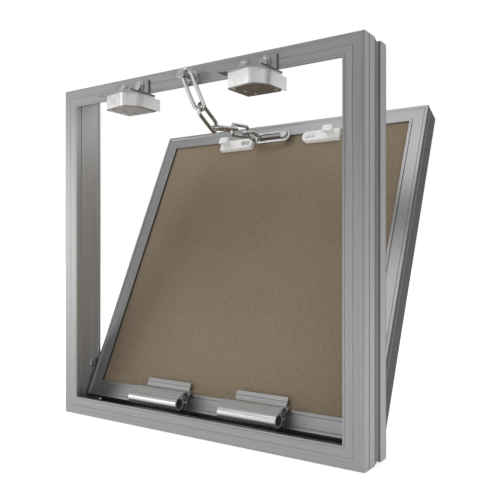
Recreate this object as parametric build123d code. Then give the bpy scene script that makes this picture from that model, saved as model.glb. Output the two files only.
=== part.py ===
from build123d import *
import math
import os

# Tileable access panel, 300 x 300 mm, seen as fitted in a wall.
# X runs along the wall, +Y points out of the wall into the room, +Z is up.
# The origin is the centre of the rear face of the frame's flange, inside the wall.
# The leaf and all that it carries are drawn shut, then opened to the rest angle.

# Frame
frame_width = 300.0
frame_height = 300.0
frame_depth = 43.0
frame_wall = 2.0
flange_width = 16.0
flange_thickness = 1.8
flange_line_at = 8.2
edge_line_at = 14.4
line_depth = 0.22
rear_chamfer = 1.2
side_line_at = 8.9
side_line_depth = 0.6
side_groove_start = 18.0
side_groove_width = 11.0
side_groove_slope = 7.0
side_groove_floor = 3.0
side_groove_depth = 1.3
wall_rib_height = 0.5
front_bevel_length = 4.4
front_bevel_depth = 1.3
front_lip_length = 2.5
front_lip_height = 0.4
cleat_leg = 28.0
frame_cleat_thickness = 2.0
frame_cleat_width = 11.0

# Leaf
leaf_side_gap = 1.95
leaf_top_gap = 1.7
leaf_thickness = 21.5
leaf_foot_gap = 3.4
leaf_wall = 1.6
leaf_flange_width = 14.6
leaf_flange_thickness = 1.8
leaf_line_at = 2.9
leaf_lip_width = 2.4
leaf_step = 0.8
leaf_side_line_at = 6.0
leaf_side_line_depth = 0.5
board_thickness = 12.5
board_edge_gap = 5.0
board_rebate_depth = 1.2
board_rebate_width = 2.6
board_slack = 0.1
retainer_thickness = 1.0
retainer_reach = 7.0
leaf_cleat_thickness = 2.8
leaf_cleat_width = 11.2
open_angle = 25.0

# Rocking pivot: a bead on the bottom rail and its seat under the leaf
bead_radius = 1.8
bead_rise = 3.7
bead_stem_share = 0.8
seat_clearance = 0.2

# Hinge arms
hinge_spacing = 97.0
hinge_plate_length = 48.5
hinge_plate_thickness = 2.0
hinge_plate_foot = 1.0
hinge_plate_top = 23.5
knuckle_length = 54.0
tube_radius = 5.5
tube_bore_radius = 4.4
tube_up = 2.6
tube_out = 13.6
clip_radius = 5.0
clip_bore_radius = 3.9
clip_up = 9.6
clip_out = 8.2
clip_clearance = 0.3
clip_mouth_low = -32.0
clip_mouth_high = 24.0
neck_thickness = 2.6
web_landing = 16.6
web_root = 2.4
web_shoulder_out = 0.6
web_shoulder_rise = 0.7
web_slope = 0.25
hinge_line_depth = 0.35
hinge_rivet_pitch = 30.0
hinge_rivet_up = 4.6
hinge_rivet_radius = 1.6
hinge_rivet_head_radius = 3.0
hinge_rivet_head = 1.2

# Push latches
latch_spacing = 126.0
mouth_spacing = 117.0
bracket_length = 38.5
bracket_thickness = 1.5
bracket_near = 22.5
bracket_far = 7.0
bracket_height = 13.0
bracket_gap = 0.3
latch_screw_pitch = 18.8
latch_screw_up = 6.2
latch_screw_flange_radius = 5.0
latch_screw_flange = 0.8
latch_screw_head_radius = 3.4
latch_screw_head = 2.0
latch_screw_round = 1.2
latch_screw_shank_radius = 1.9
latch_screw_length = 5.0
housing_height = 11.2
housing_left = 13.1
housing_right = 18.7
housing_near = 21.8
housing_corner = 17.7
housing_bend = 6.5
housing_round_run = 16.0
housing_round_slope = 0.15
housing_shoulder_in = 2.6
housing_shoulder_run = 6.2
housing_shoulder_ease = 0.3
housing_far = 10.0
housing_far_cut = 3.0
housing_wall = 0.8
core_overhang = 1.0
core_end_gap = 4.0
tongue_length = 4.3
tongue_height = 10.0
cover_thickness = 1.0
latch_rivet_places = [(-7.5, -16.4), (-5.4, -4.6), (-2.8, 5.7), (15.6, 4.4)]
latch_rivet_radius = 1.3
latch_rivet_grip = 0.2
latch_rivet_head = 0.8
latch_rivet_rim_radius = 1.95
latch_rivet_rim = 0.48
mouth_width = 14.8
mouth_height = 9.8
mouth_depth = 22.4
mouth_lift = 0.3
carriage_clearance = 0.3
carriage_length = 17.0
carriage_fork = 5.0
carriage_cheek = 0.9
carriage_travel = 3.0
spring_wire = 0.7
spring_radius = 2.6
spring_turns = 6
spring_seat_gap = 0.2
spring_pocket = 2.5
carriage_front = 1.6
carriage_floor_gap = 0.3
carriage_relief = 0.6
jaw_thickness = 1.2
jaw_length = 4.2
jaw_inset = 0.75
jaw_boss_radius = 0.85
jaw_pin_radius = 0.45
jaw_pin_clearance = 0.05
jaw_end_gap = 0.2
jaw_catch = 0.2

# Strikes
strike_inner = 28.5
strike_outer = 67.0
strike_below = 5.15
strike_height = 10.4
strike_thickness = 4.8
strike_drop = 0.35
strike_round = 4.68
head_width = 10.4
head_height = 6.4
head_thickness = 2.2
head_reach = 9.5
head_chamfer = 0.88
neck_width = 4.4
strike_screw_radius = 1.5
strike_screw_head_radius = 2.2
strike_screw_head = 0.8
strike_screw_pitch = 5.0
strike_screw_inset = 5.5
strike_screw_length = 12.8

# Chain
wire_radius = 1.6
link_inner_length = 33.2
link_inner_width = 6.6
link_slack = 0.9
chain_screw_x = 3.5
chain_screw_up = 5.5
chain_screw_reach = 15.8
chain_screw_radius = 2.0
chain_screw_depth = 5.8
chain_screw_head_radius = 3.8
chain_screw_head = 1.4
chain_screw_round = 0.7
chain_washer_radius = 5.8
chain_washer_thickness = 0.6
chain_hook_y = -9.9
chain_hook_gap = 0.4
chain_guides = [
    (-2.3, 21.53, -23.97),
    (-9.11, 51.21, -34.77),
    (-12.32, 83.14, -30.98),
    (-17.66, 114.83, -27.63),
]
chain_rounds = 60
upright_lean = 0.3
anchor_x = -22.2
anchor_down = 18.1
anchor_stand_off = 4.8
anchor_bolt_radius = 2.4
anchor_bolt_head_radius = 4.2
anchor_bolt_head = 2.6
anchor_bolt_round = 1.3
anchor_bolt_gap = 0.5
anchor_bolt_depth = 8.0
anchor_spacer_radius = 3.2

# Low studs in the jambs that keep the leaf from rubbing
jamb_stud_y = 34.8
jamb_stud_up = 41.3
jamb_stud_radius = 5.2
jamb_stud_height = 1.1
jamb_stud_chamfer = 0.66
jamb_stud_shank_radius = 2.4
jamb_stud_depth = 1.4

# Overshoot of the tools that cut past a face
cut_margin = 1.0

# Derived places
half_width = frame_width / 2
half_height = frame_height / 2
leaf_rear = frame_depth - leaf_thickness
leaf_foot = -half_height + frame_wall + leaf_foot_gap
leaf_top = half_height - frame_wall - leaf_top_gap
leaf_height = leaf_top - leaf_foot
leaf_width = frame_width - 2 * (frame_wall + leaf_side_gap)
pivot_y = frame_depth - bead_radius
pivot_z = -half_height + bead_rise
leaf_middle = (leaf_foot + leaf_top) / 2
board_rear = leaf_rear + leaf_flange_thickness
board_front = board_rear + board_thickness
board_edge_front = board_front - board_rebate_depth
opening_top = half_height - flange_width
bracket_top = opening_top - bracket_gap
housing_top = bracket_top - bracket_thickness
housing_foot = housing_top - housing_height
mouth_z = housing_foot + mouth_height / 2 + mouth_lift
mouth_rear = housing_far - mouth_depth
strike_foot = mouth_z - strike_drop - strike_below
anchor_z = leaf_top - anchor_down
head_tip = board_rear - strike_thickness - head_reach
jaw_pivot_y = head_tip + head_thickness - jaw_catch + carriage_travel
chain_screw_z = opening_top + chain_screw_up
pivot_axis = Axis((0, pivot_y, pivot_z), (1, 0, 0))


def opened(shape):
    """Turns a piece of the shut leaf to the open rest pose."""
    return shape.rotate(pivot_axis, -open_angle)


def opened_point(point):
    """Turns a point of the shut leaf to the open rest pose."""
    angle = math.radians(open_angle)
    y = point[1] - pivot_y
    z = point[2] - pivot_z
    return (
        point[0],
        pivot_y + y * math.cos(angle) + z * math.sin(angle),
        pivot_z - y * math.sin(angle) + z * math.cos(angle),
    )


def face_of(points):
    """A flat face with straight sides through the points."""
    return make_face(Polyline(*points, close=True))


def block(x0, x1, y0, y1, z0, z1):
    """A box between the given limits."""
    size = Box(x1 - x0, y1 - y0, z1 - z0)
    return size.translate(((x0 + x1) / 2, (y0 + y1) / 2, (z0 + z1) / 2))


def rod(start, direction, radius, length):
    """A cylinder from a point along a direction."""
    plane = Plane(origin=start, z_dir=direction)
    return extrude(plane * Circle(radius), amount=length)


def bar_along_x(profile, x0, x1):
    """A profile drawn as (y, z) and drawn out along X from x0 to x1."""
    plane = Plane(origin=(x0, 0, 0), x_dir=(0, 1, 0), z_dir=(1, 0, 0))
    return extrude(plane * profile, amount=x1 - x0)


def mitred_bar(profile, length):
    """A frame bar on the lower side of a square: profile (depth, inward), mitred ends."""
    bar = bar_along_x(profile, -length / 2, length / 2)
    for side in (-1, 1):
        corner = side * length / 2
        inner = corner - side * length
        beyond = corner + side * cut_margin
        wedge = face_of([(corner, 0), (inner, length), (beyond, length), (beyond, 0)])
        bar = bar - extrude(Plane.XZ * wedge, amount=length, both=True)
    return bar


def four_bars(profiles, width, height):
    """Bottom, right, top and left bars of a mitred frame that is centred in Z."""
    lengths = [width, height, width, height]
    offsets = [height / 2, width / 2, height / 2, width / 2]
    bars = []
    for index, (profile, length, offset) in enumerate(zip(profiles, lengths, offsets)):
        bar = mitred_bar(profile, length).translate((0, 0, -offset))
        bars.append(bar.rotate(Axis.Y, -90 * index))
    return bars


def frame_profile(with_bead):
    """Section of a frame bar as (depth from the rear face, distance in from the edge)."""
    groove_end = side_groove_start + side_groove_width
    floor_start = side_groove_start + side_groove_slope
    wall = frame_wall
    points = [
        (rear_chamfer, 0),
        (side_line_at - side_line_depth, 0),
        (side_line_at, side_line_depth),
        (side_line_at + side_line_depth, 0),
        (side_groove_start, 0),
        (floor_start, side_groove_depth),
        (floor_start + side_groove_floor, side_groove_depth),
        (groove_end, 0),
        (frame_depth - front_bevel_length, 0),
        (frame_depth, front_bevel_depth),
        (frame_depth, wall + front_lip_height),
        (frame_depth - front_lip_length, wall + front_lip_height),
        (frame_depth - front_lip_length - front_lip_height, wall),
        (groove_end, wall),
        (groove_end - wall_rib_height, wall + wall_rib_height),
        (side_groove_start + wall_rib_height, wall + wall_rib_height),
        (side_groove_start, wall),
        (flange_thickness, wall),
        (flange_thickness, flange_width),
        (0, flange_width),
    ]
    for line_at in (edge_line_at, flange_line_at):
        points += [(0, line_at + line_depth), (line_depth, line_at), (0, line_at - line_depth)]
    points.append((0, rear_chamfer))
    profile = face_of(points)
    if with_bead:
        stem_rear = pivot_y - bead_radius * bead_stem_share
        stem_low = wall * bead_stem_share
        profile = profile + Pos(pivot_y, bead_rise) * Circle(bead_radius)
        profile = profile + face_of([
            (stem_rear, stem_low), (frame_depth, stem_low),
            (frame_depth, bead_rise), (stem_rear, bead_rise),
        ])
    return profile


def leaf_profile():
    """Section of a leaf bar as (depth from the rear face of the frame, distance in)."""
    rear = leaf_rear
    front = frame_depth
    retainer = board_edge_front + board_slack
    lip = leaf_flange_width - leaf_lip_width
    side_line = rear + leaf_side_line_at
    return face_of([
        (rear, 0),
        (side_line - leaf_side_line_depth, 0),
        (side_line, leaf_side_line_depth),
        (side_line + leaf_side_line_depth, 0),
        (front, 0),
        (front, leaf_wall),
        (retainer + retainer_thickness, leaf_wall),
        (retainer + retainer_thickness, retainer_reach),
        (retainer, retainer_reach),
        (retainer, leaf_wall),
        (board_rear, leaf_wall),
        (board_rear, leaf_flange_width),
        (rear, leaf_flange_width),
        (rear, lip),
        (rear + leaf_step, lip),
        (rear + leaf_step, leaf_line_at),
        (rear, leaf_line_at - leaf_step),
    ])


def seat_cut():
    """The round seat under the leaf that rocks on the bead."""
    start = (-leaf_width, pivot_y, pivot_z)
    return rod(start, (1, 0, 0), bead_radius + seat_clearance, 2 * leaf_width)


def corner_cleats(width, height, leg, thickness, y0, y1):
    """Four angle cleats that stand in the corners of a rectangle."""
    cleats = []
    for sx in (-1, 1):
        for sz in (-1, 1):
            x = sx * width / 2
            z = sz * height / 2
            legs = []
            for dx, dz in ((leg, thickness), (thickness, leg)):
                x0, x1 = sorted((x, x - sx * dx))
                z0, z1 = sorted((z, z - sz * dz))
                legs.append(block(x0, x1, y0, y1, z0, z1))
            cleats.append(legs[0] + legs[1])
    return cleats


def make_frame():
    """Four mitred bars, the cleats in their corners and the low studs in the jambs."""
    plain = frame_profile(False)
    bars = four_bars([frame_profile(True), plain, plain, plain], frame_width, frame_height)
    names = ["frame_bottom_rail", "frame_right_jamb", "frame_top_rail", "frame_left_jamb"]
    nodes = dict(zip(names, bars))
    nodes["frame_corner_cleats"] = corner_cleats(
        frame_width - 2 * frame_wall, frame_height - 2 * frame_wall, cleat_leg,
        frame_cleat_thickness, flange_thickness, flange_thickness + frame_cleat_width)
    studs = []
    for name, side in (("frame_left_jamb", -1), ("frame_right_jamb", 1)):
        inner = (side * (half_width - frame_wall), jamb_stud_y, jamb_stud_up - half_height)
        head = rod(inner, (-side, 0, 0), jamb_stud_radius, jamb_stud_height)
        free_end = head.edges().group_by(Axis.X)[0 if side > 0 else -1]
        head = chamfer(free_end, jamb_stud_chamfer)
        shank = rod(inner, (side, 0, 0), jamb_stud_shank_radius, jamb_stud_depth)
        nodes[name] -= shank
        studs.append(head + shank)
    nodes["jamb_studs"] = studs
    return nodes


def make_leaf():
    """The leaf's four bars, its cleats and the board that takes the tiles."""
    bars = four_bars([leaf_profile()] * 4, leaf_width, leaf_height)
    names = ["leaf_bottom_rail", "leaf_right_stile", "leaf_top_rail", "leaf_left_stile"]
    nodes = {name: bar.translate((0, 0, leaf_middle)) for name, bar in zip(names, bars)}
    for name in ("leaf_bottom_rail", "leaf_right_stile", "leaf_left_stile"):
        nodes[name] -= seat_cut()
    cleats = corner_cleats(
        leaf_width - 2 * leaf_wall, leaf_height - 2 * leaf_wall, cleat_leg,
        leaf_cleat_thickness, board_rear, board_rear + leaf_cleat_width)
    nodes["leaf_corner_cleats"] = [cleat.translate((0, 0, leaf_middle)) for cleat in cleats]
    nodes["tile_board"] = (board_layer(board_edge_gap, board_edge_front)
                           + board_layer(board_edge_gap + board_rebate_width, board_front))
    return nodes


def board_layer(inset, front):
    """A plate from the board's rear to a front plane, set in from the leaf's edges."""
    side = leaf_width / 2 - inset
    return block(-side, side, board_rear, front, leaf_foot + inset, leaf_top - inset)


def hinge_point(up, out):
    """A point of the hinge section as (y, z), from the leaf's rear lower edge."""
    return (leaf_rear - out, leaf_foot + up)


def knuckle_profile():
    """The drawn section with a closed tube, an open clip and the web over both."""
    tube = hinge_point(tube_up, tube_out)
    clip = hinge_point(clip_up, clip_out)
    run = math.atan2(clip[1] - tube[1], clip[0] - tube[0])
    normal = (-math.sin(run), math.cos(run))
    landing = hinge_point(web_landing, hinge_plate_thickness)
    tube_crest = (tube[0] + normal[0] * tube_radius, tube[1] + normal[1] * tube_radius)
    clip_crest = (clip[0] + normal[0] * clip_radius, clip[1] + normal[1] * clip_radius)
    shoulder = (clip[0] + web_shoulder_out, clip[1] + clip_radius + web_shoulder_rise)
    web = make_face([
        Polyline(tube_crest, tube, clip, (landing[0], landing[1] - web_root), landing),
        Spline(landing, shoulder, clip_crest,
               tangents=[(-1.0, -web_slope), (-math.cos(run), -math.sin(run))]),
        Line(clip_crest, tube_crest),
    ])
    outer = Pos(*tube) * Circle(tube_radius) + Pos(*clip) * Circle(clip_radius) + web
    mouth = [clip]
    for angle in (math.radians(clip_mouth_low), math.radians(clip_mouth_high)):
        reach = 2 * clip_radius
        mouth.append((clip[0] + reach * math.cos(angle), clip[1] + reach * math.sin(angle)))
    bores = Pos(*tube) * Circle(tube_bore_radius) + Pos(*clip) * Circle(clip_bore_radius)
    return outer - bores - face_of(mouth)


def hinge_plate_profile():
    """The plate on the leaf with a line near its top and the bead that the clip grips."""
    face, low = hinge_point(hinge_plate_foot, hinge_plate_thickness)
    back, high = hinge_point(hinge_plate_top, 0)
    line_z = leaf_foot + (hinge_plate_top + web_landing) / 2
    depth = hinge_line_depth
    plate = face_of([
        (back, low), (back, high), (face, high),
        (face, line_z + depth), (face + depth, line_z), (face, line_z - depth),
        (face, low),
    ])
    clip = hinge_point(clip_up, clip_out)
    half = neck_thickness / 2
    neck = face_of([(clip[0], clip[1] - half), (back, clip[1] - half),
                    (back, clip[1] + half), (clip[0], clip[1] + half)])
    return plate + neck + Pos(*clip) * Circle(clip_bore_radius - clip_clearance)


def hinge_rivet(x):
    """A rivet's shank and its low domed head on the hinge plate."""
    y, z = hinge_point(hinge_rivet_up, hinge_plate_thickness)
    shank = rod((x, board_rear, z), (0, -1, 0), hinge_rivet_radius, board_rear - y)
    radius = hinge_rivet_head_radius
    dome = Solid.make_sphere(radius, angle1=0).rotate(Axis.X, 90).translate((x, y, z))
    cap = block(x - radius, x + radius, y - hinge_rivet_head, y + hinge_plate_thickness,
                z - radius, z + radius)
    return shank, shank + (dome & cap)


def make_hinges(leaf):
    """Two hinge arms: a plate on the leaf, a knuckle clipped on it, and the rivets."""
    nodes = {}
    rivets = []
    half_plate = hinge_plate_length / 2
    half_knuckle = knuckle_length / 2
    for name, side in (("left", -1), ("right", 1)):
        x = side * hinge_spacing / 2
        plate = bar_along_x(hinge_plate_profile(), x - half_plate, x + half_plate)
        for step in (-0.5, 0.5):
            shank, rivet = hinge_rivet(x + step * hinge_rivet_pitch)
            plate -= shank
            leaf["leaf_bottom_rail"] -= shank
            rivets.append(rivet)
        nodes[f"hinge_plate_{name}"] = plate
        nodes[f"hinge_knuckle_{name}"] = bar_along_x(knuckle_profile(), x - half_knuckle, x + half_knuckle)
    nodes["hinge_rivets"] = rivets
    return nodes


def housing_outline(inset):
    """The latch's plan: flat near left face, round near right corner, cut far right corner."""
    left = -housing_left + inset
    right = housing_right - inset
    near = -housing_near + inset
    corner = -housing_corner + inset
    round_end = near + housing_round_run
    cut = housing_far - housing_far_cut
    shoulder = (right - housing_shoulder_in + inset * housing_shoulder_ease, near + housing_shoulder_run)
    return make_face([
        Line((left, housing_far), (left, corner)),
        Line((left, corner), (housing_bend, near)),
        Spline((housing_bend, near), shoulder, (right, round_end),
               tangents=[(1, -housing_round_slope), (0, 1)]),
        Line((right, round_end), (right, cut)),
        Line((right, cut), (right - housing_far_cut, housing_far)),
        Line((right - housing_far_cut, housing_far), (left, housing_far)),
    ])


def make_bracket(x, top_rail):
    """The latch's angle bracket and its two screws, which also cut the top rail."""
    half = bracket_length / 2
    leg = block(x - half, x + half, -bracket_near, bracket_far, housing_top, bracket_top)
    upright = block(x - half, x + half, -bracket_thickness, 0, housing_top, housing_top + bracket_height)
    bracket = leg + upright
    screws = []
    for step in (-0.5, 0.5):
        at = (x + step * latch_screw_pitch, -bracket_thickness, opening_top + latch_screw_up)
        shank = rod(at, (0, 1, 0), latch_screw_shank_radius, latch_screw_length)
        flange = rod(at, (0, -1, 0), latch_screw_flange_radius, latch_screw_flange)
        dome = rod(at, (0, -1, 0), latch_screw_head_radius, latch_screw_flange + latch_screw_head)
        dome = fillet(dome.edges().group_by(Axis.Y)[0], latch_screw_round)
        bracket -= shank
        top_rail -= shank
        screws.append(shank + flange + dome)
    return bracket, screws, top_rail


def make_housing(x):
    """The latch's housing, open below and on the far side, with a tongue on its right wall."""
    plan = Plane(origin=(x, 0, housing_foot))
    body = extrude(plan * housing_outline(0), amount=housing_height)
    cavity = extrude(plan * housing_outline(housing_wall), amount=housing_height - housing_wall)
    ceiling = housing_top - housing_wall
    reach = 2 * bracket_length
    far_side = block(x - reach, x + reach, housing_far - housing_wall, housing_far + reach,
                     housing_foot, ceiling)
    right = x + housing_right
    tongue = block(right - housing_wall, right, 0, housing_far + tongue_length,
                   housing_foot, housing_foot + tongue_height)
    core = cavity + block(x - housing_left + housing_wall, right - core_end_gap,
                          0, housing_far + core_overhang, housing_foot, ceiling)
    return body - cavity - far_side + tongue, core


def make_latch(name, x, mouth_x, top_rail):
    """One push latch: bracket, housing, core, cover, carriage, jaws, pins and spring."""
    bracket, screws, top_rail = make_bracket(x, top_rail)
    housing, core = make_housing(x)
    half_mouth = mouth_width / 2
    core -= block(mouth_x - half_mouth, mouth_x + half_mouth, mouth_rear, housing_far + mouth_depth,
                  mouth_z - mouth_height / 2, mouth_z + mouth_height / 2)
    plan = Plane(origin=(x, 0, housing_foot))
    cover = extrude(plan * housing_outline(0), amount=-cover_thickness)
    rivets = []
    for rivet_x, rivet_y in latch_rivet_places:
        start = (x + rivet_x, rivet_y, housing_foot + latch_rivet_grip)
        pin = rod(start, (0, 0, -1), latch_rivet_radius,
                  latch_rivet_grip + cover_thickness + latch_rivet_head)
        rim = (x + rivet_x, rivet_y, housing_foot - cover_thickness)
        head = rod(rim, (0, 0, -1), latch_rivet_rim_radius, latch_rivet_rim)
        cover -= pin
        core -= pin
        rivets.append(pin + head)
    nodes = {
        f"latch_bracket_{name}": bracket,
        f"latch_housing_{name}": housing,
        f"latch_core_{name}": core,
        f"latch_cover_{name}": cover,
        f"latch_rivets_{name}": rivets,
    }
    nodes.update(make_carriage(name, mouth_x))
    return nodes, screws, top_rail


def make_jaw(x, gap):
    """A jaw that stands on its pin between the carriage's cheeks."""
    half = jaw_thickness / 2
    plane = Plane(origin=(x, jaw_pivot_y, mouth_z - gap + jaw_end_gap))
    outline = face_of([(-half, 0), (half, 0), (half, jaw_length), (-half, jaw_length)])
    bore = Circle(jaw_pin_radius + jaw_pin_clearance)
    return extrude(plane * (outline + Circle(jaw_boss_radius) - bore), amount=2 * (gap - jaw_end_gap))


def make_carriage(name, x):
    """The sprung carriage in the latch's mouth with its two jaws."""
    nodes = {}
    half_w = mouth_width / 2 - carriage_clearance
    half_h = mouth_height / 2 - carriage_clearance
    gap = half_h - carriage_cheek
    relief = head_width / 2 + carriage_relief
    front = jaw_pivot_y + carriage_front
    rear = front - carriage_length
    beyond = front + cut_margin
    carriage = block(x - half_w, x + half_w, rear, front, mouth_z - half_h, mouth_z + half_h)
    for half, start in ((mouth_width / 2, front - carriage_fork), (relief, head_tip - carriage_floor_gap)):
        carriage -= block(x - half, x + half, start, beyond, mouth_z - gap, mouth_z + gap)
    carriage -= rod((x, rear, mouth_z), (0, 1, 0), spring_radius + spring_wire, spring_pocket)
    pins = []
    for side, jaw_name in ((-1, "left"), (1, "right")):
        jaw_x = x + side * (half_w - jaw_inset)
        pin = rod((jaw_x, jaw_pivot_y, mouth_z - half_h), (0, 0, 1), jaw_pin_radius, 2 * half_h)
        carriage -= pin
        pins.append(pin)
        nodes[f"latch_{name}_jaw_{jaw_name}"] = make_jaw(jaw_x, gap)
    nodes[f"latch_carriage_{name}"] = carriage
    nodes[f"latch_jaw_pins_{name}"] = pins
    seat = mouth_rear + spring_seat_gap
    length = rear + spring_pocket - spring_seat_gap - seat
    nodes[f"latch_spring_{name}"] = make_spring((x, seat, mouth_z), length)
    return nodes


def make_strike(side):
    """One strike: a plate with a rounded inner end, and a T head on a neck."""
    x0, x1 = sorted((side * strike_inner, side * strike_outer))
    front = board_rear - strike_thickness
    plate = block(x0, x1, front, board_rear, strike_foot, strike_foot + strike_height)
    plate = fillet(plate.edges().filter_by(Axis.Y).group_by(Axis.X)[-1 if side < 0 else 0], strike_round)
    x = side * mouth_spacing / 2
    low = mouth_z - strike_drop - head_height / 2
    high = low + head_height
    back = head_tip + head_thickness
    neck = block(x - neck_width / 2, x + neck_width / 2, back - head_chamfer, board_rear, low, high)
    head = block(x - head_width / 2, x + head_width / 2, head_tip, back, low, high)
    head = chamfer(head.edges().filter_by(Axis.Z).group_by(Axis.Y)[0], head_chamfer)
    return plate + neck + head


def make_spring(start, length):
    """A round wire coil along Y that begins at a point."""
    height = length - spring_wire
    path = Helix(height / spring_turns, height, spring_radius)
    section = Plane(origin=path @ 0, z_dir=path % 0) * Circle(spring_wire / 2)
    coil = sweep(section, path=path, is_frenet=True)
    return coil.rotate(Axis.X, -90).translate((start[0], start[1] + spring_wire / 2, start[2]))


def make_strikes():
    """Two plastic strikes on the board, each with a T head for the jaws, and their screws."""
    nodes = {}
    screws = []
    front = board_rear - strike_thickness
    middle = strike_foot + strike_height / 2
    for name, side in (("left", -1), ("right", 1)):
        strike = make_strike(side)
        for step in (0, 1):
            x = side * (strike_inner + strike_screw_inset + step * strike_screw_pitch)
            shank = rod((x, front, middle), (0, 1, 0), strike_screw_radius, strike_screw_length)
            cap = rod((x, front, middle), (0, -1, 0), strike_screw_head_radius, strike_screw_head)
            strike -= shank
            screws.append(shank + cap)
        nodes[f"strike_{name}"] = strike
    nodes["strike_screws"] = screws
    return nodes, screws


def make_hook():
    """The screw on the frame's top flange that the chain hangs on, and its washer."""
    foot = (chain_screw_x, 0, chain_screw_z)
    inner_end = (chain_screw_x, chain_screw_depth, chain_screw_z)
    shank = rod(inner_end, (0, -1, 0), chain_screw_radius, chain_screw_depth + chain_screw_reach)
    head = rod((chain_screw_x, -chain_screw_reach, chain_screw_z), (0, -1, 0),
               chain_screw_head_radius, chain_screw_head)
    head = fillet(head.edges().group_by(Axis.Y)[0], chain_screw_round)
    washer = rod(foot, (0, -1, 0), chain_washer_radius, chain_washer_thickness)
    return shank, shank + head, washer - shank


def make_anchor():
    """The long loop behind the leaf with the bolt and the spacer that hold it."""
    y = leaf_rear - anchor_stand_off
    z = anchor_z
    left = anchor_x + wire_radius
    right = left + link_inner_length
    loop = link_solid((left, y, z), (right, y, z), (0, 0, 1))
    bolt_x = right - anchor_bolt_radius - anchor_bolt_gap
    top = y - wire_radius
    inner_end = board_rear + anchor_bolt_depth
    bolt = rod((bolt_x, inner_end, z), (0, -1, 0), anchor_bolt_radius, inner_end - top)
    cap = rod((bolt_x, top, z), (0, -1, 0), anchor_bolt_head_radius, anchor_bolt_head)
    cap = fillet(cap.edges().group_by(Axis.Y)[0], anchor_bolt_round)
    spacer = rod((bolt_x, board_rear, z), (0, -1, 0), anchor_spacer_radius, board_rear - top)
    return loop, bolt, bolt + cap, spacer - bolt


def link_solid(start, end, width_hint):
    """A round wire link whose inner ends lie just outside two joint points."""
    a = Vector(start)
    b = Vector(end)
    along = (b - a).normalized()
    hint = Vector(width_hint)
    width = (hint - along * hint.dot(along)).normalized()
    inner = (b - a).length + link_slack
    straight = inner - link_inner_width
    radius = link_inner_width / 2 + wire_radius
    plane = Plane(origin=(a + b) * 0.5, x_dir=along, z_dir=along.cross(width))
    path = plane * SlotCenterToCenter(straight, 2 * radius).wire()
    section_plane = Plane(origin=path @ 0, z_dir=path % 0)
    return sweep(section_plane * Circle(wire_radius), path=path)


def spaced(points, pitch):
    """Moves the points between two fixed ends until each step is one pitch long."""
    chain = [Vector(point) for point in points]
    last = len(chain) - 1
    for _ in range(chain_rounds):
        for index in range(1, last):
            step = (chain[index] - chain[index - 1]).normalized()
            chain[index] = chain[index - 1] + step * pitch
        for index in range(last - 1, 0, -1):
            step = (chain[index] - chain[index + 1]).normalized()
            chain[index] = chain[index + 1] + step * pitch
    return chain


def make_chain():
    """The frame's hook screw, five hanging links, and the long loop bolted to the leaf."""
    nodes = {}
    shank, nodes["chain_screw"], nodes["chain_washer"] = make_hook()
    last = opened_point((anchor_x, leaf_rear - anchor_stand_off + wire_radius, anchor_z))
    first = (chain_screw_x, chain_hook_y, chain_screw_z + chain_screw_radius + chain_hook_gap)
    guides = [Vector(first) + Vector(step) for step in chain_guides]
    joints = spaced([first] + guides + [last], link_inner_length - link_slack)
    for index, (start, end) in enumerate(zip(joints, joints[1:])):
        lying = (1, 0, 0)
        upright = (0, upright_lean, 1)
        nodes[f"chain_link_{index + 1}"] = link_solid(start, end, upright if index % 2 else lying)
    loop, bolt, nodes["chain_anchor_bolt"], nodes["chain_anchor_spacer"] = make_anchor()
    nodes["chain_anchor_loop"] = loop
    return nodes, shank, bolt


def export_all(nodes):
    """Writes one STEP file for each node."""
    os.makedirs("parts", exist_ok=True)
    for name, shape in nodes.items():
        solids = shape if isinstance(shape, list) else [shape]
        pieces = [solid for item in solids for solid in item.solids()]
        export_step(Compound(children=pieces), f"parts/{name}.step")


def main():
    """Builds every node, opens the leaf and writes the files."""
    fixed = make_frame()
    leaf = make_leaf()
    leaf.update(make_hinges(leaf))
    strikes, strike_screws = make_strikes()
    leaf.update(strikes)
    for screw in strike_screws:
        leaf["tile_board"] -= screw

    latch_screws = []
    for name, side in (("left", -1), ("right", 1)):
        parts, screws, rail = make_latch(
            name, side * latch_spacing / 2, side * mouth_spacing / 2, fixed["frame_top_rail"])
        fixed["frame_top_rail"] = rail
        fixed.update(parts)
        latch_screws += screws
    fixed["latch_screws"] = latch_screws

    chain, hook_shank, anchor_bolt = make_chain()
    fixed["frame_top_rail"] -= hook_shank
    leaf["tile_board"] -= anchor_bolt
    for name in ("chain_anchor_loop", "chain_anchor_bolt", "chain_anchor_spacer"):
        leaf[name] = chain.pop(name)
    fixed.update(chain)

    for name, shape in leaf.items():
        if isinstance(shape, list):
            fixed[name] = [opened(item) for item in shape]
        else:
            fixed[name] = opened(shape)
    export_all(fixed)


main()
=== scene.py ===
import bpy
import math
from mathutils import Matrix, Vector


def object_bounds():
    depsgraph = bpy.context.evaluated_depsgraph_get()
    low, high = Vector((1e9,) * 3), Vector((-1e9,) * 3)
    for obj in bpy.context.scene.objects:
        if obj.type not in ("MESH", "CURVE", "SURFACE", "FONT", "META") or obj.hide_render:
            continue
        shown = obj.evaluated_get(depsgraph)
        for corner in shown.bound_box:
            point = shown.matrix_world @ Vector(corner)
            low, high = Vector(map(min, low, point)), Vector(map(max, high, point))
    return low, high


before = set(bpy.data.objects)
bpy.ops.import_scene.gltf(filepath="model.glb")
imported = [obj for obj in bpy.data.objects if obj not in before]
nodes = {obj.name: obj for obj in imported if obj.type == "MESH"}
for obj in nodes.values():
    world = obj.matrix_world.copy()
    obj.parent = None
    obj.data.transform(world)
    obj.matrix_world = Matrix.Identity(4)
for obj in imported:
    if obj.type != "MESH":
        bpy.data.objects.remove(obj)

# The aluminium access panel as seen from inside the wall, in metres.
cad_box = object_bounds()

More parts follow.
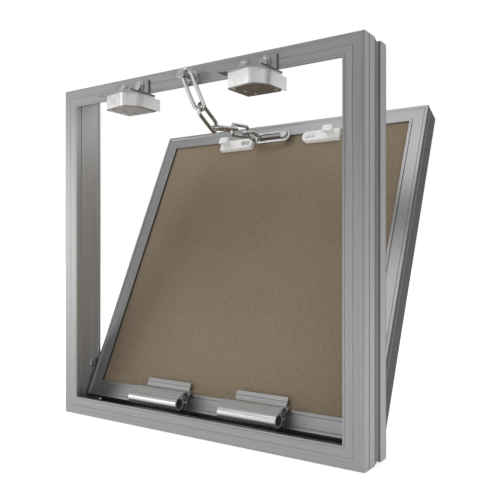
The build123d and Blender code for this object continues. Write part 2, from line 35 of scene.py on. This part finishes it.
# Camera, fitted to the panel's corners
camera_place = Vector((0.32561, -0.40746, -0.00083))
camera_azimuth = math.radians(34.697)
camera_lens = 46.43
camera_sensor = 36.0
camera_shift_x = 0.0315
camera_shift_y = 0.0053
camera_near = 0.01

# Room
white_light = (1, 1, 1, 1)
floor_gap = 0.0002
floor_height = cad_box[0][2] - floor_gap
floor_size = 12.0
floor_colour = (0.9, 0.9, 0.9, 1)
floor_rough = 0.9
floor_glow = 0.55
room_bright_side = (0.45, 0.74, 0.50)
room_dim = 0.22
room_bright = 0.85
backdrop_strength = 1.0

# Soft lights: name, place, what each faces, side length and power
lights = [
    ("key", (-1.10, -1.05, -0.02), (0, 0, 0.02), 0.9, 7),
    ("top", (-0.30, -0.75, 1.05), (0, 0.1, 0), 0.85, 5),
]

# Colours in linear light
frame_colour = (0.28, 0.28, 0.282)
leaf_colour = (0.31, 0.31, 0.31)
hinge_colour = (0.38, 0.38, 0.38)
knuckle_colour = (0.50, 0.50, 0.50)
board_colour = (0.222, 0.172, 0.115)
bracket_colour = (0.27, 0.27, 0.27)
housing_colour = (0.78, 0.78, 0.775)
plastic_black = (0.016, 0.016, 0.017)
cover_colour = (0.27, 0.245, 0.22)
steel_colour = (0.42, 0.42, 0.42)
chain_colour = (0.50, 0.50, 0.50)
white_colour = (0.80, 0.80, 0.79)
# Painted shade: a dark tone for the grooves and the bevel of the frame's outer side
painted_groove_shade = (0.15, 0.15, 0.15)
# Painted light: a lighter tone for the jambs' faces that look into the opening
painted_inner_light = (0.58, 0.58, 0.58)
# Painted light: a slightly lighter tone for the jambs' outer faces
painted_outer_light = (0.31, 0.31, 0.31)
# Painted shade: a near-black tone for the sideways faces of the leaf's stiles
painted_side_shade = (0.06, 0.06, 0.06)
# Painted highlight: a bright tone for the knuckles' cut ends
painted_cut_highlight = (0.75, 0.75, 0.75)

# The part of the noise's range that shows
noise_start = 0.3
noise_end = 0.7

# Drawing lines of the aluminium: noise scales across and along them, contrast and relief
line_scale = 900.0
line_scale_along = 6.0
line_contrast = 0.10
line_relief = 0.12
brushed_metallic = 0.85

# Clouds of the plain metal and skin of the plastic
cloud_scale = 240.0
skin_scale = 1800.0
skin_relief = 0.06

# Height of the relief on aluminium and plastic
fine_height = 0.0001

# Board
board_cloud_scale = 11.0
fibre_stretch = (560, 560, 250)
speckle_dark = (0.85, 0.85, 0.85)
speckle_light = (1.14, 1.14, 1.14)
fibre_relief = 0.75
fibre_height = 0.0006
board_rough = 0.86

# Bands on the frame's outer side, painted dark as shade: its distance from the middle, how far in
# from it their faces lie at most, and where each band starts and ends, measured from the rear face
frame_half = cad_box[1][0]
groove_reach = 0.0018
groove_bands = [(0.0082, 0.0096), (0.0181, 0.0249), (0.0280, 0.0290), (0.0387, 0.0430)]

# The least share of a normal that has to lie along a direction to face it
facing = 0.9


def new_material(name):
    """A material with its node tree and its shader."""
    material = bpy.data.materials.new(name)
    material.use_nodes = True
    tree = material.node_tree
    shader = tree.nodes["Principled BSDF"]
    return material, tree, shader


def coordinates(tree, scale):
    """Object coordinates stretched by a scale for each axis."""
    source = tree.nodes.new("ShaderNodeTexCoord")
    mapping = tree.nodes.new("ShaderNodeMapping")
    mapping.inputs["Scale"].default_value = scale
    tree.links.new(source.outputs["Object"], mapping.inputs["Vector"])
    return mapping.outputs["Vector"]


def noise(tree, scale, detail, rough=0.55, stretch=(1, 1, 1)):
    """A noise texture's factor, stretched by a scale for each axis."""
    texture = tree.nodes.new("ShaderNodeTexNoise")
    texture.inputs["Scale"].default_value = scale
    texture.inputs["Detail"].default_value = detail
    texture.inputs["Roughness"].default_value = rough
    tree.links.new(coordinates(tree, stretch), texture.inputs["Vector"])
    return texture.outputs["Fac"]


def ramp(tree, factor, low, high, start=noise_start, end=noise_end):
    """A colour ramp between two colours."""
    node = tree.nodes.new("ShaderNodeValToRGB")
    node.color_ramp.elements[0].position = start
    node.color_ramp.elements[1].position = end
    node.color_ramp.elements[0].color = (*low, 1)
    node.color_ramp.elements[1].color = (*high, 1)
    tree.links.new(factor, node.inputs["Fac"])
    return node.outputs["Color"]


def spread(tree, factor, low, high, start=noise_start, end=noise_end):
    """The factor mapped to a range of plain values."""
    node = tree.nodes.new("ShaderNodeMapRange")
    node.inputs["From Min"].default_value = start
    node.inputs["From Max"].default_value = end
    node.inputs["To Min"].default_value = low
    node.inputs["To Max"].default_value = high
    tree.links.new(factor, node.inputs["Value"])
    return node.outputs["Result"]


def bump(tree, shader, height, strength, distance):
    """Roughens the surface's normal by a height."""
    node = tree.nodes.new("ShaderNodeBump")
    node.inputs["Strength"].default_value = strength
    node.inputs["Distance"].default_value = distance
    tree.links.new(height, node.inputs["Height"])
    tree.links.new(node.outputs["Normal"], shader.inputs["Normal"])


def scaled(colour, amount):
    """A colour made lighter or darker."""
    return tuple(channel * amount for channel in colour)


def tint(tree, shader, factor, colour, darker, lighter):
    """Lets the base colour waver between a darker and a lighter share of one colour."""
    colours = ramp(tree, factor, scaled(colour, darker), scaled(colour, lighter))
    tree.links.new(colours, shader.inputs["Base Color"])


def gloss(tree, shader, factor, low, high):
    """Lets the roughness waver between two values."""
    tree.links.new(spread(tree, factor, low, high), shader.inputs["Roughness"])


def brushed_metal(name, colour, along, rough=0.38):
    """Anodised aluminium with drawing lines along one axis."""
    material, tree, shader = new_material(name)
    stretch = [line_scale, line_scale, line_scale]
    stretch["XYZ".index(along)] = line_scale_along
    lines = noise(tree, scale=1.0, detail=2.0, stretch=stretch)
    tint(tree, shader, lines, colour, darker=1 - line_contrast, lighter=1 + line_contrast)
    gloss(tree, shader, lines, low=rough - 0.05, high=rough + 0.07)
    shader.inputs["Metallic"].default_value = brushed_metallic
    bump(tree, shader, lines, line_relief, fine_height)
    return material


def plain_metal(name, colour, rough):
    """Bare or plated metal with faint clouds in its colour and its gloss."""
    material, tree, shader = new_material(name)
    clouds = noise(tree, cloud_scale, detail=4.0)
    tint(tree, shader, clouds, colour, darker=0.93, lighter=1.05)
    gloss(tree, shader, clouds, low=rough * 0.85, high=rough * 1.2)
    shader.inputs["Metallic"].default_value = 1.0
    return material


def plastic(name, colour, rough):
    """Plastic with a fine skin."""
    material, tree, shader = new_material(name)
    skin = noise(tree, skin_scale, detail=3.0)
    tint(tree, shader, skin, colour, darker=0.96, lighter=1.03)
    shader.inputs["Roughness"].default_value = rough
    bump(tree, shader, skin, skin_relief, fine_height)
    return material


def board_material():
    """Tan board with a soft cloudy tint and fine upright mottling."""
    material, tree, shader = new_material("board")
    clouds = noise(tree, board_cloud_scale, detail=3.0)
    fibres = noise(tree, scale=1.0, detail=4.0, rough=0.6, stretch=fibre_stretch)
    base = ramp(tree, clouds, scaled(board_colour, 0.94), scaled(board_colour, 1.05))
    speckle = ramp(tree, fibres, speckle_dark, speckle_light, start=0.28, end=0.75)
    mix = tree.nodes.new("ShaderNodeMix")
    mix.data_type = "RGBA"
    mix.blend_type = "MULTIPLY"
    mix.inputs["Factor"].default_value = 1.0
    tree.links.new(base, mix.inputs["A"])
    tree.links.new(speckle, mix.inputs["B"])
    tree.links.new(mix.outputs["Result"], shader.inputs["Base Color"])
    shader.inputs["Roughness"].default_value = board_rough
    bump(tree, shader, fibres, fibre_relief, fibre_height)
    return material


def assign(material, *starts):
    """Gives a material to every node whose name begins with one of the words."""
    for name, piece in nodes.items():
        if name.startswith(starts):
            piece.data.materials.clear()
            piece.data.materials.append(material)


def repaint(names, material, chosen):
    """Gives one more material to the faces that a test picks by centre and normal."""
    for name in names:
        mesh = nodes[name].data
        mesh.materials.append(material)
        for face in mesh.polygons:
            if chosen(face.center, face.normal):
                face.material_index = len(mesh.materials) - 1


def in_groove(centre, normal):
    """Whether a face belongs to the grooves and the bevel of the frame's outer side."""
    outer = max(abs(centre.x), abs(centre.z)) > frame_half - groove_reach
    return outer and any(start < centre.y < end for start, end in groove_bands)


def looks_in(centre, normal):
    """Whether a face of a jamb looks into the frame's opening."""
    return abs(normal.x) > facing and centre.x * normal.x < 0


def looks_out(centre, normal):
    """Whether a face of a bar looks away from the frame's opening."""
    outward = normal.x * centre.x + normal.z * centre.z
    return outward > facing * max(abs(centre.x), abs(centre.z))


def looks_sideways(centre, normal):
    """Whether a face looks to the left or to the right."""
    return abs(normal.x) > facing


def dress_bars():
    """Brushed aluminium for the bars of the frame and of the leaf."""
    assign(brushed_metal("frame_across", frame_colour, "X"), "frame_bottom", "frame_top")
    assign(brushed_metal("frame_upright", frame_colour, "Z"), "frame_left", "frame_right")
    assign(brushed_metal("leaf_across", leaf_colour, "X"), "leaf_bottom", "leaf_top")
    assign(brushed_metal("leaf_upright", leaf_colour, "Z"), "leaf_left", "leaf_right")


def dress_fittings():
    """Metal for the cleats, the hinges, the fasteners, the springs and the chain."""
    fixings = ["hinge_rivets", "latch_screws", "latch_rivets", "latch_jaw_pins", "strike_screws"]
    others = ["latch_spring", "chain_screw", "chain_washer", "chain_anchor", "jamb_studs"]
    assign(plain_metal("cleats", steel_colour, rough=0.45), "frame_corner", "leaf_corner")
    assign(brushed_metal("hinge_plates", hinge_colour, "X", rough=0.36), "hinge_plate")
    assign(brushed_metal("hinge_knuckles", knuckle_colour, "X", rough=0.30), "hinge_knuckle")
    assign(plain_metal("bright_steel", steel_colour, rough=0.30), *fixings, *others)
    # This comes last, because it replaces the bright steel of the anchor's loop
    assign(plain_metal("chain_steel", chain_colour, rough=0.24), "chain_link", "chain_anchor_loop")


def dress_latches():
    """Metal and plastic for the latches and the strikes."""
    insides = ["latch_core", "latch_carriage", "latch_left_jaw", "latch_right_jaw"]
    assign(plain_metal("latch_bracket", bracket_colour, rough=0.4), "latch_bracket")
    assign(plain_metal("latch_housing", housing_colour, rough=0.36), "latch_housing")
    assign(plain_metal("latch_cover", cover_colour, rough=0.5), "latch_cover")
    assign(plastic("latch_plastic", plastic_black, rough=0.5), *insides)
    assign(plastic("strike_white", white_colour, rough=0.42), "strike_left", "strike_right")


def dress_sides():
    """Painted light and shade for the sides and grooves of the bars, lighter on the jambs' inner
    and outer faces and darker on the grooves and the leaf's sides, and a painted highlight on the
    knuckles' cut ends.
    """
    jambs = ["frame_left_jamb", "frame_right_jamb"]
    bars = ["frame_bottom_rail", "frame_top_rail", *jambs]
    stiles = ["leaf_left_stile", "leaf_right_stile"]
    knuckles = ["hinge_knuckle_left", "hinge_knuckle_right"]
    # Painted light on the jambs' faces that look into the opening
    repaint(jambs, brushed_metal("frame_painted_inner_light", painted_inner_light, "Z", rough=0.5), looks_in)
    # Painted light on the jambs' outer faces
    repaint(jambs, brushed_metal("frame_painted_outer_light", painted_outer_light, "Z"), looks_out)
    # Painted shade on the grooves and the bevel of the frame's outer side
    repaint(bars, brushed_metal("frame_painted_groove_shade", painted_groove_shade, "Z", rough=0.5), in_groove)
    # Painted shade on the sideways faces of the leaf's stiles
    repaint(stiles, brushed_metal("leaf_painted_side_shade", painted_side_shade, "Z", rough=0.5), looks_sideways)
    # Painted highlight on the knuckles' cut ends
    repaint(knuckles, brushed_metal("knuckle_end_painted_highlight", painted_cut_highlight, "Y", rough=0.5), looks_sideways)


def make_camera():
    """The camera at the photograph's place."""
    data = bpy.data.cameras.new("camera")
    data.lens = camera_lens
    data.sensor_width = camera_sensor
    data.shift_x = camera_shift_x
    data.shift_y = camera_shift_y
    data.clip_start = camera_near
    camera = bpy.data.objects.new("camera", data)
    back = Vector((math.sin(camera_azimuth), -math.cos(camera_azimuth), 0))
    right = Vector((math.cos(camera_azimuth), math.sin(camera_azimuth), 0))
    up = Vector((0, 0, 1))
    turn = Matrix((right, up, back)).transposed()
    camera.matrix_world = Matrix.Translation(camera_place) @ turn.to_4x4()
    bpy.context.collection.objects.link(camera)
    bpy.context.scene.camera = camera


def area_light(name, place, target, size, power):
    """A soft square light that faces a target."""
    data = bpy.data.lights.new(name, "AREA")
    data.shape = "SQUARE"
    data.size = size
    data.energy = power
    light = bpy.data.objects.new(name, data)
    aim = Vector(target) - Vector(place)
    light.rotation_euler = aim.to_track_quat("-Z", "Y").to_euler()
    light.location = place
    bpy.context.collection.objects.link(light)


def make_world():
    """White for the camera, and for everything else a soft room with one brighter side."""
    world = bpy.data.worlds.new("studio")
    world.use_nodes = True
    tree = world.node_tree
    room = tree.nodes["Background"]
    place = tree.nodes.new("ShaderNodeTexCoord")
    aim = tree.nodes.new("ShaderNodeVectorMath")
    aim.operation = "DOT_PRODUCT"
    aim.inputs[1].default_value = room_bright_side
    tree.links.new(place.outputs["Generated"], aim.inputs[0])
    level = spread(tree, aim.outputs["Value"], room_dim, room_bright, start=-1.0, end=1.0)
    tree.links.new(level, room.inputs["Strength"])
    backdrop = tree.nodes.new("ShaderNodeBackground")
    backdrop.inputs["Strength"].default_value = backdrop_strength
    for light in (room, backdrop):
        light.inputs["Color"].default_value = white_light
    path = tree.nodes.new("ShaderNodeLightPath")
    mix = tree.nodes.new("ShaderNodeMixShader")
    tree.links.new(path.outputs["Is Camera Ray"], mix.inputs["Fac"])
    tree.links.new(room.outputs["Background"], mix.inputs[1])
    tree.links.new(backdrop.outputs["Background"], mix.inputs[2])
    tree.links.new(mix.outputs["Shader"], tree.nodes["World Output"].inputs["Surface"])
    bpy.context.scene.world = world


def make_floor():
    """A pale floor that glows a little."""
    bpy.ops.mesh.primitive_plane_add(size=floor_size, location=(0, 0, floor_height))
    floor = bpy.context.object
    floor.name = "floor"
    material, _, shader = new_material("floor")
    shader.inputs["Base Color"].default_value = floor_colour
    shader.inputs["Roughness"].default_value = floor_rough
    shader.inputs["Emission Color"].default_value = white_light
    shader.inputs["Emission Strength"].default_value = floor_glow
    floor.data.materials.append(material)


def make_room():
    """The world, the floor and the soft lights."""
    make_world()
    bpy.context.scene.view_settings.view_transform = "Standard"
    make_floor()
    for light in lights:
        area_light(*light)


dress_bars()
dress_fittings()
dress_latches()
assign(board_material(), "tile_board")
dress_sides()
make_camera()
make_room()
